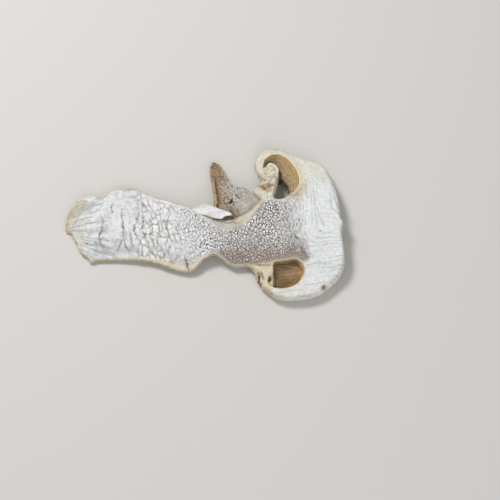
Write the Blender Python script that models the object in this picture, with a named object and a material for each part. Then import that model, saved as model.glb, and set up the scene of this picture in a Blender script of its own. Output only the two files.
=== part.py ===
"""One dried matsutake slice, cut lengthwise through stem and cap, lying on its underside.

The slice grew and was cut as one piece, so it is one solid. Seen from above it is an anchor: a broad
stem from the foot at -X to the cap at +X, whose two margins roll back towards the stem. Each rolled
margin closes round a hollow that the gills line: the far hollow (+Y) is a crescent round an open
window, the near hollow (-Y) is a panel of gills that lie side by side. A torn ring hangs from the far
edge of the neck, and two slivers of skin have peeled up from the stem.

The upper face and the underside are heights over one plan. The plan is triangulated once for each of
them, with points along the edge, the rims of the hollows, the gills and the lip of the ring, and a
narrow wall joins the two along the edge. Sizes are in millimetres, and the mesh is in metres.
"""

import bmesh
import bpy
import numpy as np
from mathutils import Matrix, Vector
from mathutils.geometry import delaunay_2d_cdt

MM = 0.001

# Thickness of the dried flesh
CAP_THICKNESS = 5.6
STEM_THICKNESS = 3.6
STEM_EDGE_THICKNESS = 2.2
STEM_CROWN_REACH = 8.0
CAP_BEGINS_X = 14.0
CAP_FULL_X = 28.0
RING_THICKNESS = 1.2
EDGE_WALL = 0.9
EDGE_ROUND = 2.2

# How the drying bowed it: the neck and the middle of the cap stand clear of the table
BOW = 3.4
BOW_FOOT_X = -46.0
BOW_NECK_X = -8.0
BOW_HALF_WIDTH = 25.0
NOTCH_CENTRE = (3.4, -14.2)
NOTCH_LIFT = 1.4
NOTCH_REACH = 6.0
RING_STEP_DOWN = 0.9
RING_HANG = 28.0

# Gills: ridges on the floor of each hollow
GILL_RELIEF = 1.0
HOLLOW_WALL = 1.4
LEAST_GILL_DEPTH = 0.6
NEAR_GILL_PITCH = 1.3
NEAR_HOLLOW_DEPTH = 2.4
FAR_GILL_COUNT = 3
FAR_HOLLOW_FLOOR = 2.2

# Wrinkles on the stem: a net of shallow valleys, long across the stem
NET_DEPTH = 0.55
NET_ALONG = 4.4
NET_ACROSS = 10.0
NET_VALLEY = 0.34
NET_SEED = 7
NET_TABLE = 64

# How the points of a row are joined
CLOSED, OPEN, LOOSE = range(3)

# Spacing of the mesh
EDGE_STEP = 1.3
RIM_STEP = 1.2
FACE_STEP = 1.15
UNDERSIDE_STEP = 3.2
GILL_STEP = 1.5
CURVE_SAMPLES = 40
LATTICE_CLEARANCE = 0.62
SMOOTH_BELOW_DEGREES = 40

# Plan of the slice, counter-clockwise, as x along the stem and y across it
FOOT = [(-56.3, -2.4), (-53.8, -3.2), (-52.4, -6.0), (-49.6, -12.0), (-47.0, -14.2), (-45.4, -16.3)]
NEAR_STEM_EDGE = [
    (-43.0, -15.5), (-33.0, -15.2), (-21.5, -16.3), (-14.0, -18.9), (-7.4, -20.5), (-3.4, -19.4),
    (-0.6, -16.2), (3.4, -14.2), (7.0, -15.8), (11.4, -18.6), (17.0, -18.4),
]
NEAR_VEIL = [(19.8, -20.8), (21.3, -25.6)]
NEAR_MARGIN = [(24.2, -28.8), (28.6, -32.0), (36.4, -32.7), (44.4, -31.0), (49.8, -27.2)]
CROWN = [
    (53.7, -23.2), (55.6, -18.6), (55.9, -13.0), (55.1, -5.4), (55.8, -0.9), (54.5, 1.2),
    (54.1, 8.4), (52.6, 15.4), (50.8, 20.2), (49.2, 24.0), (46.4, 26.8), (42.0, 28.2), (35.4, 30.5),
]
FAR_MARGIN = [
    (29.4, 33.2), (24.0, 32.4), (20.7, 29.0), (20.2, 25.2), (21.8, 20.6), (22.2, 17.0), (19.4, 13.4),
]
RING_LIP = [(22.6, 9.4), (19.6, 4.0), (13.2, -0.4), (7.8, -1.3)]
RING = [
    (16.8, 15.0), (12.4, 16.2), (9.2, 19.4), (7.6, 23.4), (5.6, 27.0), (2.6, 28.0),
    (1.8, 24.0), (2.6, 18.0), (3.6, 10.0), (3.4, 4.0),
]
FAR_STEM_EDGE = [
    (3.0, 1.3), (-5.2, 6.0), (-14.0, 9.4), (-21.5, 12.0), (-28.5, 15.7), (-34.8, 16.2),
    (-43.0, 13.2), (-51.0, 9.5), (-54.6, 6.6), (-55.8, 2.6),
]

# Hollows: the near one's rim, the far one's rim and the inner edge of its gills, and the open window
NEAR_RIM = [
    (27.4, -18.5), (32.0, -17.7), (36.4, -17.0), (39.3, -19.4), (39.5, -22.8), (36.8, -26.8),
    (31.6, -28.8), (27.2, -28.2), (25.0, -26.0), (27.2, -22.6),
]
FAR_RIM = [
    (23.2, 24.0), (24.2, 28.2), (28.0, 30.3), (32.2, 29.2), (35.8, 25.2), (38.0, 20.4),
    (38.1, 15.6), (35.8, 11.6),
]
FAR_INNER = [
    (24.6, 24.2), (25.6, 26.2), (27.8, 26.2), (29.8, 23.8), (30.0, 19.9), (31.6, 19.0),
    (33.4, 16.2), (34.3, 12.3),
]
WINDOW = [
    (29.9, 20.2), (31.7, 18.9), (33.5, 16.0), (34.3, 12.3), (32.2, 9.9), (29.4, 9.3),
    (27.9, 10.2), (28.7, 13.6), (29.4, 17.0),
]

# Peeled slivers: outline, height above the table at the root and at the tip, and thickness
PEELED_LEAF = [
    (-6.0, 4.0), (-3.8, 6.2), (1.0, 8.0), (5.8, 7.4), (10.9, 3.7), (7.4, 1.5), (1.4, 2.4), (-3.0, 2.4),
]
PEELED_LEAF_ROOT_HEIGHT = 3.6
PEELED_LEAF_TIP_HEIGHT = 6.6
FOOT_SLIVER = [(-44.0, 11.2), (-45.5, 12.9), (-48.8, 12.5), (-53.4, 9.9), (-49.6, 10.9), (-46.5, 10.2)]
FOOT_SLIVER_HEIGHT = 1.9
SLIVER_THICKNESS = 0.9

FLESH_COLOUR = (0.76, 0.72, 0.62, 1.0)


def smooth_path(points, step, closed):
    """Points every `step` or so along a Catmull-Rom curve through `points`."""
    knots = np.array(points, float)
    if closed:
        knots = np.vstack([knots[-1:], knots, knots[:2]])
    else:
        knots = np.vstack([2 * knots[0] - knots[1], knots, 2 * knots[-1] - knots[-2]])
    t = np.linspace(0, 1, CURVE_SAMPLES, endpoint=False)[:, None]
    spans = []
    for a, b, c, d in zip(knots, knots[1:], knots[2:], knots[3:]):
        bend = 2 * a - 5 * b + 4 * c - d
        twist = 3 * b - a - 3 * c + d
        spans.append(b + 0.5 * ((c - a) * t + bend * t**2 + twist * t**3))
    fine = np.vstack([*spans, knots[-2:-1]])
    run = np.concatenate([[0], np.cumsum(np.hypot(*np.diff(fine, axis=0).T))])
    at = np.linspace(0, run[-1], max(4, round(run[-1] / step)) + 1)
    path = np.column_stack([np.interp(at, run, fine[:, axis]) for axis in (0, 1)])
    return path[:-1] if closed else path


def depth_inside(points, loop):
    """Distance of each point from a closed loop, positive inside it."""
    start, end = loop, np.roll(loop, -1, axis=0)
    run = end - start
    rel = points[:, None, :] - start[None]
    share = np.clip((rel * run).sum(2) / (run * run).sum(1), 0, 1)
    away = np.linalg.norm(rel - share[..., None] * run, axis=2).min(1)
    spans = (start[:, 1] > points[:, 1:]) != (end[:, 1] > points[:, 1:])
    rise = np.where(run[:, 1] == 0, 1, run[:, 1])
    crossing = start[:, 0] + (points[:, 1:] - start[:, 1]) * run[:, 0] / rise
    inside = (spans & (points[:, :1] < crossing)).sum(1) % 2 == 1
    return np.where(inside, away, -away)


def ramp(low, high, value):
    """0 below `low`, 1 above `high` and a smooth S between them."""
    t = np.clip((value - low) / (high - low), 0, 1)
    return t * t * (3 - 2 * t)


def net_border(x, y, cell_x, cell_y, seed):
    """0 on the borders of an irregular net of cells, rising towards each cell's middle."""
    table = np.random.default_rng(seed).uniform(0.12, 0.88, (NET_TABLE, NET_TABLE, 2))
    u, v = x / cell_x, y / cell_y
    column, row = np.floor(u).astype(int), np.floor(v).astype(int)
    away = []
    for du in (-1, 0, 1):
        for dv in (-1, 0, 1):
            seat = table[(column + du) % NET_TABLE, (row + dv) % NET_TABLE]
            away.append(np.hypot(column + du + seat[:, 0] - u, row + dv + seat[:, 1] - v))
    nearest, second = np.sort(away, axis=0)[:2]
    return second - nearest


PLAN = FOOT + NEAR_STEM_EDGE + NEAR_VEIL + NEAR_MARGIN + CROWN + FAR_MARGIN
FLESH_LOOP = smooth_path(PLAN + RING_LIP + FAR_STEM_EDGE, EDGE_STEP, True)
EDGE_LOOP = smooth_path(PLAN + RING + FAR_STEM_EDGE, EDGE_STEP, True)
WINDOW_LOOP = smooth_path(WINDOW, RIM_STEP, True)
NEAR_RIM_LOOP = smooth_path(NEAR_RIM, RIM_STEP, True)
FAR_RIM_PATH = smooth_path(FAR_RIM, RIM_STEP, False)
FAR_INNER_PATH = smooth_path(FAR_INNER, RIM_STEP / 4, False)


def underside(p):
    """Height of the bowed underside: 0 under the foot and both margins."""
    x, y = p.T
    bow = BOW * ramp(BOW_FOOT_X, BOW_NECK_X, x) * np.maximum(0, 1 - (y / BOW_HALF_WIDTH) ** 2)
    away = np.hypot(x - NOTCH_CENTRE[0], y - NOTCH_CENTRE[1])
    return bow + NOTCH_LIFT * np.exp(-((away / NOTCH_REACH) ** 2))


def thickness(p, in_flesh):
    """Thickness of the flesh: thin at the stem's edges, crowned along its middle, thick in the cap."""
    crown = ramp(0, STEM_CROWN_REACH, in_flesh)
    stem = STEM_EDGE_THICKNESS + (STEM_THICKNESS - STEM_EDGE_THICKNESS) * crown
    return stem + (CAP_THICKNESS - stem) * ramp(CAP_BEGINS_X, CAP_FULL_X, p[:, 0])


def wrinkles(p, in_flesh):
    """How far the stem's net of wrinkles sinks the face."""
    x, y = p.T
    sway = 1.2 * np.sin(y / 5) + 0.8 * np.sin(x / 9)
    border = net_border(x + sway, y, NET_ALONG, NET_ACROSS, NET_SEED)
    fade = ramp(-53, -44, x) * (1 - ramp(10, 24, x)) * ramp(0.8, 3.5, in_flesh)
    return NET_DEPTH * np.exp(-((border / NET_VALLEY) ** 2)) * fade


def heights(p, sink):
    """(face, underside) over plan points whose face is sunk by `sink`."""
    in_flesh = depth_inside(p, FLESH_LOOP)
    low = underside(p)
    high = low + thickness(p, in_flesh) - wrinkles(p, in_flesh) - sink

    # The ring leaves the neck below its lip and droops towards the table
    ring_low = (low + RING_STEP_DOWN) * (1 - ramp(0, RING_HANG, -in_flesh))
    on_flesh = ramp(-RING_STEP_DOWN, 0.1, in_flesh)
    low = ring_low + (low - ring_low) * on_flesh
    high = low + RING_THICKNESS + (high - low - RING_THICKNESS) * on_flesh

    # Face and underside close in on the wall along the edge
    inside = np.minimum(depth_inside(p, EDGE_LOOP), -depth_inside(p, WINDOW_LOOP))
    near = 1 - np.clip(inside / EDGE_ROUND, 0, 1)
    middle, half = (high + low) / 2, (high - low) / 2
    half = EDGE_WALL / 2 + (half - EDGE_WALL / 2) * np.sqrt(1 - near**2)
    return middle + half, middle - half


def flat_row(points, link):
    """A row of plan points that don't sink."""
    return points, np.zeros(len(points)), link


def distance_to(points, path):
    """Distance of each plan point from the nearest point of a path."""
    return np.hypot(points[:, None, 0] - path[None, :, 0], points[:, None, 1] - path[None, :, 1]).min(1)


def window_row():
    """The window's edge, sunk to the hollow's floor where the gills end at it."""
    by_gills = 1 - ramp(0.3, 1.8, distance_to(WINDOW_LOOP, FAR_INNER_PATH))
    return WINDOW_LOOP, (CAP_THICKNESS - FAR_HOLLOW_FLOOR) * by_gills, CLOSED


def far_gill_rows():
    """The far hollow's rim, then the crests and valleys of the gills that follow it inwards."""
    rows = [flat_row(FAR_RIM_PATH, OPEN)]
    share = np.linspace(0, 1, round(len(FAR_RIM_PATH) * RIM_STEP / GILL_STEP) + 1)
    ends = []
    for path in (FAR_RIM_PATH, FAR_INNER_PATH):
        along = np.linspace(0, 1, len(path))
        ends.append(np.column_stack([np.interp(share, along, path[:, axis]) for axis in (0, 1)]))
    rim, inner = ends
    width = np.hypot(*(inner - rim).T)
    halves = 2 * FAR_GILL_COUNT
    for number in range(1, halves):
        wide = width / halves > (0.45 if number % 2 else 0.3)
        ridge = GILL_RELIEF / 2 * (1 if number % 2 else -1) * np.clip(width / 5, 0, 1)
        sink = number / halves * (CAP_THICKNESS - FAR_HOLLOW_FLOOR) + ridge
        rows.append(((rim + (inner - rim) * number / halves)[wide], sink[wide], OPEN))
    return rows


def near_gill_rows():
    """The near hollow's rim, then the crests and valleys of the gills that lie side by side in it."""
    rows = [flat_row(NEAR_RIM_LOOP, CLOSED)]
    low, high = NEAR_RIM_LOOP.min(0), NEAR_RIM_LOOP.max(0)
    xs = np.arange(low[0], high[0], GILL_STEP)
    for number, y in enumerate(np.arange(low[1], high[1], NEAR_GILL_PITCH / 2)):
        row = np.column_stack([xs, np.full(len(xs), y)])
        inside = depth_inside(row, NEAR_RIM_LOOP)
        deep = inside > LEAST_GILL_DEPTH
        row, inside = row[deep], inside[deep]
        if len(row) < 2:
            continue
        ridge = GILL_RELIEF / 2 * (1 if number % 2 else -1)
        rows.append((row, (NEAR_HOLLOW_DEPTH + ridge) * ramp(0, HOLLOW_WALL, inside), OPEN))
    return rows


def lip_rows():
    """The crest of the neck's lip, and the foot of its step down to the ring."""
    run = np.roll(FLESH_LOOP, -1, axis=0) - np.roll(FLESH_LOOP, 1, axis=0)
    outward = np.column_stack([run[:, 1], -run[:, 0]]) / np.hypot(*run.T)[:, None]
    on_lip = depth_inside(FLESH_LOOP, EDGE_LOOP) > 1.2
    crest = FLESH_LOOP[on_lip]
    return [flat_row(crest, OPEN), flat_row(crest + outward[on_lip] * RING_STEP_DOWN, OPEN)]


def filling(step, rows):
    """Loose plan points on a triangular lattice, clear of both edges and of the points in `rows`."""
    low, high = EDGE_LOOP.min(0), EDGE_LOOP.max(0)
    lattice = []
    for number, y in enumerate(np.arange(low[1], high[1], step * np.sqrt(3) / 2)):
        xs = np.arange(low[0] + step / 2 * (number % 2), high[0], step)
        lattice.append(np.column_stack([xs, np.full(len(xs), y)]))
    p = np.vstack(lattice)
    clear = LATTICE_CLEARANCE * step
    p = p[(depth_inside(p, EDGE_LOOP) > clear) & (depth_inside(p, WINDOW_LOOP) < -clear)]
    for row, _, _ in rows:
        p = p[distance_to(p, row) > clear]
    return p


def triangulated(rows, outline, holes):
    """(plan points, sinks, triangles, place of each row's point) over rows of (points, sinks, link)."""
    points = np.vstack([row for row, _, _ in rows])
    row_sinks = np.concatenate([sink for _, sink, _ in rows])
    edges, first = [], 0
    for row, _, link in rows:
        last = first + len(row) - 1
        if link != LOOSE:
            edges += [(k, k + 1) for k in range(first, last)]
        if link == CLOSED:
            edges.append((last, first))
        first = last + 1
    found = delaunay_2d_cdt([Vector(p) for p in points], edges, [], 0, 1e-5)
    plan = np.array([tuple(v) for v in found[0]])
    sinks, place = np.zeros(len(plan)), {}
    for number, sources in enumerate(found[3]):
        for source in sources:
            place[source] = number
            sinks[number] = row_sinks[source]
    triangles = np.array(found[2])
    middle = plan[triangles].mean(1)
    kept = depth_inside(middle, outline) > 0
    for hole in holes:
        kept &= depth_inside(middle, hole) < 0
    return plan, sinks, triangles[kept], place


def shell(name, edges, face_rows, under_rows, height_of):
    """A closed mesh: a face and an underside over one plan, joined by a wall along the plan's edges.

    `edges` are rows too, the outline first and then any hole. `height_of` takes plan points and
    sinks and gives the heights of the face and of the underside.
    """
    outline, *holes = [row for row, _, _ in edges]
    plan, sinks, face, on_face = triangulated(edges + face_rows, outline, holes)
    under_plan, under_sinks, under, on_under = triangulated(edges + under_rows, outline, holes)
    points = np.vstack([
        np.column_stack([plan, height_of(plan, sinks)[0]]),
        np.column_stack([under_plan, height_of(under_plan, under_sinks)[1]]),
    ])
    wall, first = [], 0
    for row, _, _ in edges:
        for k in range(len(row)):
            a, b = first + k, first + (k + 1) % len(row)
            wall.append((on_face[a], len(plan) + on_under[a], len(plan) + on_under[b], on_face[b]))
        first += len(row)
    mesh = bpy.data.meshes.new(name)
    faces = face.tolist() + (under[:, ::-1] + len(plan)).tolist() + wall
    mesh.from_pydata((points * MM).tolist(), [], faces)
    shaped = bmesh.new()
    shaped.from_mesh(mesh)
    bmesh.ops.recalc_face_normals(shaped, faces=shaped.faces)
    bmesh.ops.triangulate(shaped, faces=shaped.faces)
    shaped.to_mesh(mesh)
    shaped.free()
    return mesh


def slice_mesh():
    """The slice without its peeled slivers."""
    rows = near_gill_rows() + far_gill_rows() + lip_rows()
    loose = filling(FACE_STEP, rows)
    far_band = np.vstack([FAR_RIM_PATH, FAR_INNER_PATH[::-1]])
    loose = loose[(depth_inside(loose, NEAR_RIM_LOOP) < 0) & (depth_inside(loose, far_band) < 0.3)]
    edges = [flat_row(EDGE_LOOP, CLOSED), window_row()]
    under = [flat_row(filling(UNDERSIDE_STEP, []), LOOSE)]
    return shell("dried_slice", edges, rows + [flat_row(loose, LOOSE)], under, heights)


def sliver(name, outline, root_height, tip_height):
    """A thin sheet that rises from the outline's first point to the point farthest from it."""
    loop = smooth_path(outline, RIM_STEP, True)
    reach = np.hypot(*(loop - loop[0]).T).max()

    def height_of(p, _):
        share = np.hypot(*(p - loop[0]).T) / reach
        middle = root_height + (tip_height - root_height) * share**0.7
        return middle + SLIVER_THICKNESS / 2, middle - SLIVER_THICKNESS / 2

    return bpy.data.objects.new(name, shell(name, [flat_row(loop, CLOSED)], [], [], height_of))


def flesh_material():
    """Dull cream flesh."""
    material = bpy.data.materials.new("dried_flesh")
    material.use_nodes = True
    shader = material.node_tree.nodes["Principled BSDF"]
    shader.inputs["Base Color"].default_value = FLESH_COLOUR
    shader.inputs["Roughness"].default_value = 0.85
    return material


def main():
    for obj in list(bpy.data.objects):
        bpy.data.objects.remove(obj)
    parts = bpy.data.collections.new("dried matsutake slice")
    peeled = bpy.data.collections.new("peeled slivers")
    for collection in (parts, peeled):
        bpy.context.scene.collection.children.link(collection)

    body = bpy.data.objects.new("dried_slice", slice_mesh())
    parts.objects.link(body)
    peeled.objects.link(sliver("leaf", PEELED_LEAF, PEELED_LEAF_ROOT_HEIGHT, PEELED_LEAF_TIP_HEIGHT))
    peeled.objects.link(sliver("foot_sliver", FOOT_SLIVER, FOOT_SLIVER_HEIGHT, FOOT_SLIVER_HEIGHT))

    # The slivers grew as one with the slice
    union = body.modifiers.new("slivers", "BOOLEAN")
    union.operation = "UNION"
    union.operand_type = "COLLECTION"
    union.collection = peeled
    union.solver = "EXACT"
    bpy.context.view_layer.update()
    graph = bpy.context.evaluated_depsgraph_get()
    joined = bpy.data.meshes.new_from_object(body.evaluated_get(graph))
    body.modifiers.clear()
    body.data = joined
    for obj in list(peeled.objects):
        bpy.data.objects.remove(obj)
    bpy.data.collections.remove(peeled)
    joined.materials.clear()
    joined.materials.append(flesh_material())
    joined.shade_smooth()
    joined.set_sharp_from_angle(angle=np.radians(SMOOTH_BELOW_DEGREES))

    # The origin is the bottom centre of the slice's box
    corners = np.array([vert.co for vert in joined.vertices])
    low, high = corners.min(0), corners.max(0)
    joined.transform(Matrix.Translation((-(low[0] + high[0]) / 2, -(low[1] + high[1]) / 2, -low[2])))
    joined.update()


main()
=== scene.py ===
# %% [markdown]
# # A dried matsutake slice
#
# A matsutake is cut lengthwise for drying, so a slice shows the whole mushroom in section: the foot and
# the broad stem, the ring that once joined stem and cap, and the cap, whose two margins roll back round
# the gills. Drying bows the slice, draws the stem's flesh into a net of wrinkles, and turns the gills
# brown. This lesson dresses a plain solid of that slice with its real surface.
#
# The plain solid comes packed, as a frame in metres that nothing here moves or resizes. One piece after
# another is then worked out with numpy, in millimetres, and put into a mesh.

import bpy
import numpy as np
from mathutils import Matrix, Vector


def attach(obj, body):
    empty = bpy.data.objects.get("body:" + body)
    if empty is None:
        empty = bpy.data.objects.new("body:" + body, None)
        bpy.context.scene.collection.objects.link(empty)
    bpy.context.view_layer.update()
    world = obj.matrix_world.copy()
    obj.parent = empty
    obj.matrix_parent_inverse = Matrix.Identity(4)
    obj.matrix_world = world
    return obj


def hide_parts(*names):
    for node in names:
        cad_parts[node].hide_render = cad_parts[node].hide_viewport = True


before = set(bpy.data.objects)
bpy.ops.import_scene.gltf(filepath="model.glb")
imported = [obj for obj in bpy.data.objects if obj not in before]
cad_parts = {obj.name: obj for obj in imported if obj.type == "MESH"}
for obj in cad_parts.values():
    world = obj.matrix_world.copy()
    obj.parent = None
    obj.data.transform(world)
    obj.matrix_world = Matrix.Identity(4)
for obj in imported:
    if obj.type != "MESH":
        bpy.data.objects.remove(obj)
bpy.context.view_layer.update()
NODE = "dried_slice"

# %% [markdown]
# ## The camera
#
# The slice is seen steeply from above, from the side of the near margin. A long lens keeps the foot and
# the cap at one scale. The camera comes first, so that every later piece can be looked at from it.

# %% Camera
CAMERA_AIM = Vector((0.0184, -0.0116, 0.003))
CAMERA_ELEVATION = np.radians(67)
CAMERA_DISTANCE = 0.6
CAMERA_LENS_MM = 108

lens = bpy.data.cameras.new("camera")
lens.lens = CAMERA_LENS_MM
lens.clip_start = 0.01
camera = bpy.data.objects.new("camera", lens)
bpy.context.scene.collection.objects.link(camera)
away = Vector((0, -np.cos(CAMERA_ELEVATION), np.sin(CAMERA_ELEVATION)))
camera.location = CAMERA_AIM + CAMERA_DISTANCE * away
camera.rotation_euler = (-away).to_track_quat("-Z", "Y").to_euler()
bpy.context.scene.camera = camera
print("camera at, m:", [round(value, 3) for value in camera.location])

# %% [markdown]
# ## Lines of the plan
#
# Seen from above, the slice is an outline with a few marked lines in it. Each is a short list of places,
# x along the stem and y across it, and a smooth curve runs through them. These are the same places as in
# the solid, so every surface built on them lies where the solid does.

# %% Plan of the slice
FOOT = [(-56.3, -2.4), (-53.8, -3.2), (-52.4, -6.0), (-49.6, -12.0), (-47.0, -14.2), (-45.4, -16.3)]
NEAR_STEM_EDGE = [
    (-43.0, -15.5), (-33.0, -15.2), (-21.5, -16.3), (-14.0, -18.9), (-7.4, -20.5), (-3.4, -19.4),
    (-0.6, -16.2), (3.4, -14.2), (7.0, -15.8), (11.4, -18.6), (17.0, -18.4),
]
NEAR_VEIL_EDGE = [(19.8, -20.8), (21.3, -25.6)]
NEAR_MARGIN = [(24.2, -28.8), (28.6, -32.0), (36.4, -32.7), (44.4, -31.0), (49.8, -27.2)]
CROWN = [
    (53.7, -23.2), (55.6, -18.6), (55.9, -13.0), (55.1, -5.4), (55.8, -0.9), (54.5, 1.2),
    (54.1, 8.4), (52.6, 15.4), (50.8, 20.2), (49.2, 24.0), (46.4, 26.8), (42.0, 28.2), (35.4, 30.5),
]
FAR_MARGIN = [
    (29.4, 33.2), (24.0, 32.4), (20.7, 29.0), (20.2, 25.2), (21.8, 20.6), (22.2, 17.0), (19.4, 13.4),
]
RING_LIP = [(22.6, 9.4), (19.6, 4.0), (13.2, -0.4), (7.8, -1.3)]
RING_EDGE = [
    (16.8, 15.0), (12.4, 16.2), (9.2, 19.4), (7.6, 23.4), (5.6, 27.0), (2.6, 28.0),
    (1.8, 24.0), (2.6, 18.0), (3.6, 10.0), (3.4, 4.0),
]
FAR_STEM_EDGE = [
    (3.0, 1.3), (-5.2, 6.0), (-14.0, 9.4), (-21.5, 12.0), (-28.5, 15.7), (-34.8, 16.2),
    (-43.0, 13.2), (-51.0, 9.5), (-54.6, 6.6), (-55.8, 2.6),
]
NEAR_RIM = [
    (27.4, -18.5), (32.0, -17.7), (36.4, -17.0), (39.3, -19.4), (39.5, -22.8), (36.8, -26.8),
    (31.6, -28.8), (27.2, -28.2), (25.0, -26.0), (27.2, -22.6),
]
FAR_RIM = [
    (23.2, 24.0), (24.2, 28.2), (28.0, 30.3), (32.2, 29.2), (35.8, 25.2), (38.0, 20.4),
    (38.1, 15.6), (35.8, 11.6),
]
FAR_INNER = [
    (24.6, 24.2), (25.6, 26.2), (27.8, 26.2), (29.8, 23.8), (30.0, 19.9), (31.6, 19.0),
    (33.4, 16.2), (34.3, 12.3),
]
WINDOW = [
    (29.9, 20.2), (31.7, 18.9), (33.5, 16.0), (34.3, 12.3), (32.2, 9.9), (29.4, 9.3),
    (27.9, 10.2), (28.7, 13.6), (29.4, 17.0),
]

# %% Curves through the places
PATH_STEP = 1.2
CURVE_SAMPLES = 40


def smooth_path(points, step=PATH_STEP, closed=False):
    """Points at even spacing along a Catmull-Rom curve.

    Between two knots b and c the curve is the cubic that leaves b along c - a and reaches c along d - b,
    where a and d are the knots before and after.
    """
    knots = np.array(points, float)
    if closed:
        knots = np.vstack([knots[-1:], knots, knots[:2]])
    else:
        knots = np.vstack([2 * knots[0] - knots[1], knots, 2 * knots[-1] - knots[-2]])
    t = np.linspace(0, 1, CURVE_SAMPLES, endpoint=False)[:, None]
    spans = []
    for a, b, c, d in zip(knots, knots[1:], knots[2:], knots[3:]):
        bend = 2 * a - 5 * b + 4 * c - d
        twist = 3 * b - a - 3 * c + d
        spans.append(b + 0.5 * ((c - a) * t + bend * t**2 + twist * t**3))
    fine = np.vstack([*spans, knots[-2:-1]])
    run = np.concatenate([[0], np.cumsum(np.hypot(*np.diff(fine, axis=0).T))])
    at = np.linspace(0, run[-1], max(4, round(run[-1] / step)) + 1)
    path = np.column_stack([np.interp(at, run, fine[:, axis]) for axis in (0, 1)])
    return path[:-1] if closed else path


PLAN = FOOT + NEAR_STEM_EDGE + NEAR_VEIL_EDGE + NEAR_MARGIN + CROWN + FAR_MARGIN
flesh_loop = smooth_path(PLAN + RING_LIP + FAR_STEM_EDGE, closed=True)
whole_loop = smooth_path(PLAN + RING_EDGE + FAR_STEM_EDGE, closed=True)
window_loop = smooth_path(WINDOW, closed=True)
near_rim_loop = smooth_path(NEAR_RIM, closed=True)
far_rim_path = smooth_path(FAR_RIM)
far_inner_path = smooth_path(FAR_INNER)

# The solid was centred on its box, so the plan moves by as much
plan_shift = -(whole_loop.min(0) + whole_loop.max(0)) / 2
print("plan, mm:", np.ptp(whole_loop, axis=0).round(1), "moved by", plan_shift.round(3))

# %% [markdown]
# ## Distance, ramps and noise
#
# Almost every feature of the slice depends on how far a place is from some line: the edge rounds off, a
# hollow sinks inside its rim, a crease is narrow and follows its path. So one function measures distance
# to a closed outline, with a sign, and one to an open path. Dried flesh also never repeats, and two kinds
# of noise give that: soft noise, and the borders of an uneven net of cells.


# %% Distance to outlines and paths
def distance_to_path(x, y, path):
    """(distance, share of the path's length at the nearest place), the least over all its segments."""
    best = np.full(np.shape(x), np.inf)
    along = np.zeros(np.shape(x))
    lengths = np.hypot(*np.diff(path, axis=0).T)
    starts = np.concatenate([[0], np.cumsum(lengths)])
    for (ax, ay), (bx, by), length, start in zip(path, path[1:], lengths, starts):
        ux, uy = (bx - ax) / length, (by - ay) / length
        run = np.clip((x - ax) * ux + (y - ay) * uy, 0, length)
        gap = np.hypot(x - ax - run * ux, y - ay - run * uy)
        along = np.where(gap < best, (start + run) / starts[-1], along)
        best = np.minimum(best, gap)
    return best, along


def depth_inside(x, y, loop):
    """Distance to a closed outline, positive inside it.

    A place is inside where a ray from it along +x crosses the outline an odd number of times.
    """
    closed = np.vstack([loop, loop[:1]])
    inside = np.zeros(np.shape(x), bool)
    for (ax, ay), (bx, by) in zip(closed, closed[1:]):
        if ay != by:
            inside ^= ((ay > y) != (by > y)) & (x < ax + (y - ay) * (bx - ax) / (by - ay))
    gap = distance_to_path(x, y, closed)[0]
    return np.where(inside, gap, -gap)


def ramp(low, high, value):
    """0 below `low`, 1 above `high`, and the S-curve 3t^2 - 2t^3 between them."""
    t = np.clip((value - low) / (high - low), 0, 1)
    return t * t * (3 - 2 * t)


def bump(width, distance):
    """1 at nought distance, falling off as the bell curve exp(-(distance / width)^2)."""
    return np.exp(-((distance / width) ** 2))


def spot(width, x, y, place):
    """The same bell curve round one place of the plan."""
    return bump(width, np.hypot(x - place[0], y - place[1]))


def most(*masks):
    """The highest of several masks at every point."""
    return np.max(masks, axis=0)


# %% Noise
TABLE = 128


def soft_noise(x, y, seed):
    """Random heights from -1 to 1 on a unit lattice, with S-curves between them."""
    table = np.random.default_rng(seed).uniform(-1, 1, (TABLE, TABLE))
    column, row = np.floor(x).astype(int), np.floor(y).astype(int)
    u, v = ramp(0, 1, x - column), ramp(0, 1, y - row)
    column, row = column % TABLE, row % TABLE
    right, above = (column + 1) % TABLE, (row + 1) % TABLE
    low = table[column, row] * (1 - u) + table[right, row] * u
    high = table[column, above] * (1 - u) + table[right, above] * u
    return low * (1 - v) + high * v


def layered_noise(x, y, seed, layers=3):
    """Soft noise summed over layers, each twice as fine and half as high as the last."""
    return sum(soft_noise(x * 2**k, y * 2**k, seed + k) / 2**k for k in range(layers))


def cell_net(x, y, seed):
    """(distance to the nearest seat, gap to the second nearest) for one random seat in each unit square.

    The gap is nought on the borders between cells, which makes an uneven net.
    """
    seats = np.random.default_rng(seed).uniform(0.1, 0.9, (TABLE, TABLE, 2))
    column, row = np.floor(x).astype(int), np.floor(y).astype(int)
    nearest = np.full(np.shape(x), np.inf)
    second = np.full(np.shape(x), np.inf)
    for step_x in (-1, 0, 1):
        for step_y in (-1, 0, 1):
            seat = seats[(column + step_x) % TABLE, (row + step_y) % TABLE]
            gap = np.hypot(column + step_x + seat[..., 0] - x, row + step_y + seat[..., 1] - y)
            second = np.minimum(second, np.maximum(nearest, gap))
            nearest = np.minimum(nearest, gap)
    return nearest, second - nearest


# %% [markdown]
# ## Two ways to make a mesh
#
# Most of the mushroom is flesh with an irregular outline, an upper face and an underside. Both faces are
# heights over one square grid that keeps only the squares inside the outline. The points on the rim of
# those squares are pulled onto the outline, so the edge is smooth, and a wall of a few rows that swells a
# little outwards joins the faces. The gills, the ring's rolled edge and the loose fibres are the other
# kind: a small closed section carried along a path.


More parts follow.
